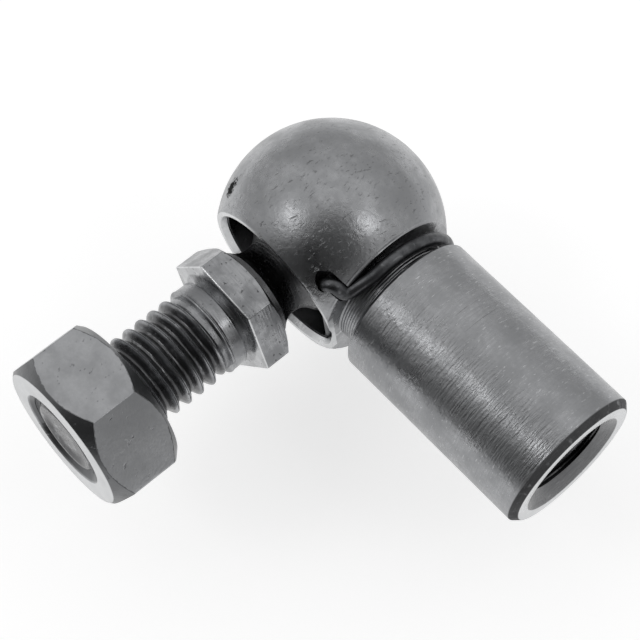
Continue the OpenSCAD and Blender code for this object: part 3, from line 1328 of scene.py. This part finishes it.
@dataclass
class BallStud:
    """Stud: ball, waist, heel, hexagon, undercut, collar and rolled thread."""

    sizes: Sizes = SIZES
    segments: int = 144
    waist_r: float = 3.2
    waist_fillet: float = 2.25
    heel_r: float = 4.0
    heel_w: float = 0.74
    hex_af: float = 10.0
    hex_t: float = 2.75
    hex_flat_r: float = 4.9
    hex_turn: float = -7.3
    undercut_r: float = 3.45
    undercut_w: float = 0.6
    collar_r: float = 3.98
    collar_w: float = 1.5
    blank_r: float = 3.55
    chamfer: float = 0.85
    crest: float = 20.3
    crest_angle: float = 155.0
    thread_r: float = 3.9
    # Plain shaft beside the collar, and the length over which the thread sinks in
    plain_w: float = 0.35
    sink_w: float = 0.55

    @property
    def first_crest(self) -> float:
        """Place on the stud's axis of a crest of the thread on the +X side."""
        return self.crest - ROLLED_M8.pitch * self.crest_angle / 360.0

    def build(self) -> Piece:
        """Turns the stud, adds its hexagon and its thread and tilts it as it stands in the socket.

        Returns:
            The modelled stud.
        """
        s = self.sizes
        hollow_r = self.waist_r + self.waist_fillet
        hollow_z = math.sqrt((s.ball_r + self.waist_fillet) ** 2 - hollow_r**2)
        meet = math.degrees(math.atan2(hollow_z, hollow_r))
        rise = math.sqrt(self.waist_fillet**2 - (hollow_r - self.heel_r) ** 2)
        heel = hollow_z + rise
        back = heel + self.heel_w
        seat = back + self.hex_t
        collar = seat + self.undercut_w
        blank = collar + self.collar_w
        last = math.degrees(math.asin(rise / self.waist_fillet))
        body = (
            Outline()
            .arc(s.ball_r, -90.0, meet, (0.0, 0.0), 64)
            .arc(self.waist_fillet, 180.0 + meet, 180.0 - last + 3.0, (hollow_r, hollow_z), 24)
            .to(self.heel_r, heel, 0.10)
            .to(self.heel_r, back + self.hex_t / 2)
            .to(self.undercut_r, back + self.hex_t / 2)
            .to(self.undercut_r, collar, 0.18)
            .to(self.collar_r - 0.03, collar, 0.10)
            .to(self.collar_r - 0.03, blank - 0.40, 0.05)
            .to(self.collar_r - 0.10, blank - 0.33, 0.05)
            .to(self.collar_r - 0.10, blank - 0.28, 0.05)
            .to(self.collar_r + 0.02, blank - 0.20, 0.06)
            .to(self.collar_r + 0.02, blank - 0.04, 0.08)
            .to(self.blank_r - 0.2, blank + 0.02)
            .to(0.0, blank + 0.02)
        )
        piece = turned("stud", body, Axis.Z, self.segments)
        cut(piece, self.hexagon(back), Cut.WITH)
        cut(piece, self.shaft(collar + 0.5, blank), Cut.WITH)
        return placed(piece, s.stud_place)

    def dress(self, piece: Piece) -> None:
        """Gives the stud its finish and its place in the frame."""
        finished(piece, StudSteel().make(), "ball_stud", "stud")

    def hexagon(self, back: float) -> Piece:
        """Makes the hexagon with its back chamfered.

        Args:
            back: place of its back on the stud's axis.

        Returns:
            The hexagon, on the stud's upright axis.
        """
        slope = math.tan(math.radians(30.0))
        wide = 0.6 * self.hex_af
        form = (
            Outline()
            .to(0.0, back)
            .to(self.hex_flat_r, back, 0.06)
            .to(wide + 1.0, back + (wide + 1.0 - self.hex_flat_r) * slope)
            .to(wide + 1.0, back + self.hex_t)
            .to(0.0, back + self.hex_t)
        )
        return hexagon("stud_hexagon", self.hex_af, back, self.hex_t, self.hex_turn, form)

    def shaft(self, first: float, blank: float) -> Piece:
        """Makes the threaded shaft, which runs out into a plain shaft beside the collar.

        Args:
            first: place inside the collar where the shaft starts.
            blank: place where the plain shaft starts.

        Returns:
            The shaft, on the stud's upright axis.
        """
        tip = self.sizes.stud_reach
        piece = ROLLED_M8.solid("stud_shaft", first, tip + 0.5, self.first_crest)
        # The rolls leave the blank untouched beside the collar and sink in over half a turn
        for v in piece.data.vertices:
            r = math.hypot(v.co.x, v.co.y)
            if r < 1e-6:
                continue
            t = min(max((v.co.z / MM - blank - self.plain_w) / self.sink_w, 0.0), 1.0)
            t = t * t * (3 - 2 * t)
            to = (self.blank_r * MM) * (1 - t) + r * t
            v.co.x *= to / r
            v.co.y *= to / r
        r_tip = self.thread_r - self.chamfer
        form = (
            Outline()
            .to(0.0, first - 1.0)
            .to(5.0, first - 1.0)
            .to(5.0, tip - self.chamfer - 1.1)
            .to(r_tip, tip - 0.03, 0.08)
            .to(r_tip - 0.28, tip - 0.05, 0.10)
            .to(r_tip - 0.9, tip - 0.30, 0.30)
            .to(0.0, tip - 0.42)
        )
        cut(piece, turned("tip_tool", form, Axis.Z, 96), Cut.WITHIN)
        return piece


def hexagon(name: str, af: float, start: float, t: float, turn: float, form: Outline) -> Piece:
    """Makes a hexagonal prism and keeps what lies within a turned form.

    Args:
        name: name of the new object.
        af: width across the flats.
        start: place of its lower face on Z.
        t: thickness.
        turn: turn about Z, in degrees; 0 has a corner on +X.
        form: outline of the turned form.

    Returns:
        The chamfered hexagon with its edges broken.
    """
    bpy.ops.object.select_all(action="DESELECT")
    corner_r = af / 2 / math.cos(math.radians(30.0))
    bpy.ops.mesh.primitive_cylinder_add(vertices=6, radius=corner_r * MM, depth=t * MM)
    piece = bpy.context.object
    piece.name = name
    spin = Matrix.Rotation(math.radians(30.0 + turn), 4, "Z")
    placed(piece, Matrix.Translation((0.0, 0.0, (start + t / 2) * MM)) @ spin)
    alone(piece)
    bpy.ops.object.modifier_add(type="BEVEL")
    bevel = piece.modifiers[-1]
    bevel.width = 0.10 * MM
    bevel.segments = 3
    bevel.limit_method = "ANGLE"
    bevel.angle_limit = math.radians(25.0)
    bpy.ops.object.modifier_apply(modifier=bevel.name)
    cut(piece, turned(name + "_form", form, Axis.Z, 144), Cut.WITHIN)
    return piece


@dataclass
class HexNut:
    """Cold-formed nut on the stud's thread, chamfered on both faces."""

    sizes: Sizes = SIZES
    af: float = 13.0
    t: float = 6.5
    flat_r: float = 6.225
    sink_r: float = 4.3
    hole_r: float = 3.42
    turn: float = 3.5

    def build(self, stud: BallStud) -> Piece:
        """Makes the nut, taps it to the stud's thread and tilts it with the stud.

        Args:
            stud: ball stud, whose thread the nut follows.

        Returns:
            The modelled nut.
        """
        s = self.sizes
        top = s.nut_reach
        low = top - self.t
        wide = 0.62 * self.af
        reach = wide - self.flat_r
        form = (
            Outline()
            .to(0.0, low)
            .to(self.flat_r, low, 0.10)
            .to(wide, low + reach)
            .to(wide, top - reach)
            .to(self.flat_r, top, 0.10)
            .to(0.0, top)
        )
        piece = hexagon("nut", self.af, low, self.t, self.turn, form)
        sink = (self.sink_r - self.hole_r) / math.tan(math.radians(45.0))
        bore = (
            Outline()
            .to(0.0, low - 0.2)
            .to(self.sink_r + 0.2, low - 0.2)
            .to(self.sink_r + 0.05, low, 0.05)
            .to(self.hole_r, low + sink)
            .to(self.hole_r, top - sink)
            .to(self.sink_r + 0.05, top, 0.05)
            .to(self.sink_r + 0.2, top + 0.2)
            .to(0.0, top + 0.2)
        )
        cut(piece, turned("nut_bore", bore, Axis.Z, 96), Cut.AWAY)
        tap = TAPPED_M8.grown(0.03).solid("nut_tap", low - 0.5, top + 0.5, stud.first_crest)
        cut(piece, tap, Cut.AWAY)
        return placed(piece, s.stud_place)

    def dress(self, piece: Piece) -> None:
        """Gives the nut its finish and its place in the frame."""
        steel = NutSteel(self.t, self.flat_r, self.sink_r)
        finished(piece, steel.make(), "hex_nut", "nut")


@dataclass
class Studio:
    """Pale floor, soft boxes, and the camera at the photograph's angle."""

    # Low enough for the nut when the stud hangs at its lowest tilt, in millimetres
    floor_z: float = -15.0
    # Sizes of the stage, in metres
    floor_w: float = 0.36
    lamp_w: float = 0.13
    lamp_away: float = 0.45
    # Paper, and the light it gives to the eye so that it shows white
    paper: str = "#cfcfcf"
    paper_glow: float = 0.62
    # Camera fitted to the photograph: place in millimetres, directions to the right and ahead
    lens: float = 97.38
    place: tuple[float, float, float] = (53.280, -36.477, 129.287)
    right: tuple[float, float, float] = (0.6689, 0.7396, -0.0743)
    ahead: tuple[float, float, float] = (-0.3405, 0.2160, -0.9151)

    def build(self) -> None:
        """Sets up floor, lamps, world and camera."""
        self.floor()
        self.lamps()
        self.world()
        self.camera()
        bpy.context.scene.view_settings.view_transform = "Standard"

    def floor(self) -> None:
        """Lays a matt sheet that keeps the shadow and shows white to the eye and in the metal."""
        bpy.ops.object.select_all(action="DESELECT")
        bpy.ops.mesh.primitive_plane_add(size=self.floor_w, location=(0.0, 0.0, self.floor_z * MM))
        sheet = bpy.context.object
        sheet.name = "floor"
        material = bpy.data.materials.new("matt_white_paper")
        material.use_nodes = True
        tree = material.node_tree
        tree.nodes.clear()
        path = add(tree, "LightPath")
        seen = add(
            tree, "Math", {"operation": "MAXIMUM"},
            {0: path.outputs["Is Camera Ray"], 1: path.outputs["Is Glossy Ray"]},
        )
        shown = add(
            tree, "Math", {"operation": "MAXIMUM"},
            {0: seen.outputs["Value"], 1: path.outputs["Is Transmission Ray"]},
        )
        lift = add(
            tree, "Math", {"operation": "MULTIPLY"},
            {0: shown.outputs["Value"], 1: self.paper_glow},
        )
        paper = add(tree, "BsdfDiffuse", None, {"Color": srgb(self.paper)})
        glow = add(tree, "Emission", None, {"Strength": lift.outputs["Value"]})
        both = add(tree, "AddShader", None, {0: paper.outputs[0], 1: glow.outputs[0]})
        add(tree, "OutputMaterial", None, {"Surface": both.outputs[0]})
        sheet.data.materials.append(material)

    def lamps(self) -> None:
        """Hangs two small soft boxes, one over the mouth's side and one beyond the shank."""
        for name, way, energy in (
            ("soft_box_left", (-0.32, -0.51, 0.80), 0.115),
            ("soft_box_right", (0.59, 0.30, 0.75), 0.07),
        ):
            bpy.ops.object.select_all(action="DESELECT")
            bpy.ops.object.light_add(type="AREA")
            lamp = bpy.context.object
            lamp.name = name
            lamp.data.shape = "DISK"
            lamp.data.size = self.lamp_w
            lamp.data.energy = energy
            spot = Vector(way).normalized() * self.lamp_away
            turn = spot.to_track_quat("Z", "Y").to_matrix().to_4x4()
            lamp.matrix_world = Matrix.Translation(spot) @ turn

    def world(self) -> None:
        """Makes a light tent: paler overhead than at the sides, with openings to the dark room."""
        world = bpy.data.worlds.new("light_tent")
        bpy.context.scene.world = world
        world.use_nodes = True
        tree = world.node_tree
        tree.nodes.clear()
        way = add(tree, "TexCoord").outputs["Generated"]
        high = add(tree, "SeparateXYZ", None, {0: way})
        tent = add(
            tree, "MapRange", {"interpolation_type": "SMOOTHSTEP"},
            {
                "From Min": 0.1, "From Max": 0.95, "To Min": 0.64, "To Max": 0.90,
                "Value": high.outputs["Z"],
            },
        ).outputs["Result"]
        # Openings of the tent: direction, degrees from it where the dark is full and ends, light left
        for middle, full, end, level in (
            ((0.25, -0.93, 0.26), 20.0, 48.0, 0.12),
            ((0.53, -0.41, 0.74), 18.0, 50.0, 0.12),
            ((0.94, 0.30, -0.05), 10.0, 26.0, 0.45),
        ):
            near = add(
                tree, "VectorMath", {"operation": "DOT_PRODUCT"},
                {0: way, 1: Vector(middle).normalized()},
            ).outputs["Value"]
            dim = add(
                tree, "MapRange", {"interpolation_type": "SMOOTHSTEP"},
                {
                    "From Min": math.cos(math.radians(end)), "From Max": math.cos(math.radians(full)),
                    "To Min": 1.0, "To Max": level, "Value": near,
                },
            ).outputs["Result"]
            tent = add(tree, "Math", {"operation": "MULTIPLY"}, {0: tent, 1: dim}).outputs["Value"]
        path = add(tree, "LightPath")
        strength = add(
            tree, "Mix", {"data_type": "FLOAT"}, {0: path.outputs["Is Camera Ray"], 2: tent, 3: 1.0}
        )
        back = add(
            tree, "Background", None,
            {"Color": (1.0, 1.0, 1.0, 1.0), "Strength": strength.outputs[0]},
        )
        add(tree, "OutputWorld", None, {"Surface": back.outputs[0]})

    def camera(self) -> None:
        """Stands the camera where the photograph was taken from."""
        bpy.ops.object.select_all(action="DESELECT")
        bpy.ops.object.camera_add()
        camera = bpy.context.object
        camera.data.lens = self.lens
        camera.data.sensor_width = 36.0
        camera.data.clip_start = 0.005
        right = Vector(self.right).normalized()
        ahead = Vector(self.ahead).normalized()
        down = ahead.cross(right).normalized()
        right = down.cross(ahead)
        turn = Matrix((right, -down, -ahead)).transposed().to_4x4()
        camera.matrix_world = Matrix.Translation(Vector(self.place) * MM) @ turn
        bpy.context.scene.camera = camera


def main() -> None:
    """Builds the pieces in order, dresses them and sets up the studio."""
    logging.basicConfig(level=logging.INFO, format="%(name)s: %(message)s")
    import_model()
    clip = SafetyClip()
    socket = BallSocket()
    stud = BallStud()
    nut = HexNut()
    socket.dress(socket.build(clip))
    stud.dress(stud.build())
    clip.dress(clip.build())
    nut.dress(nut.build(stud))
    Studio().build()


if __name__ == "__main__":
    main()
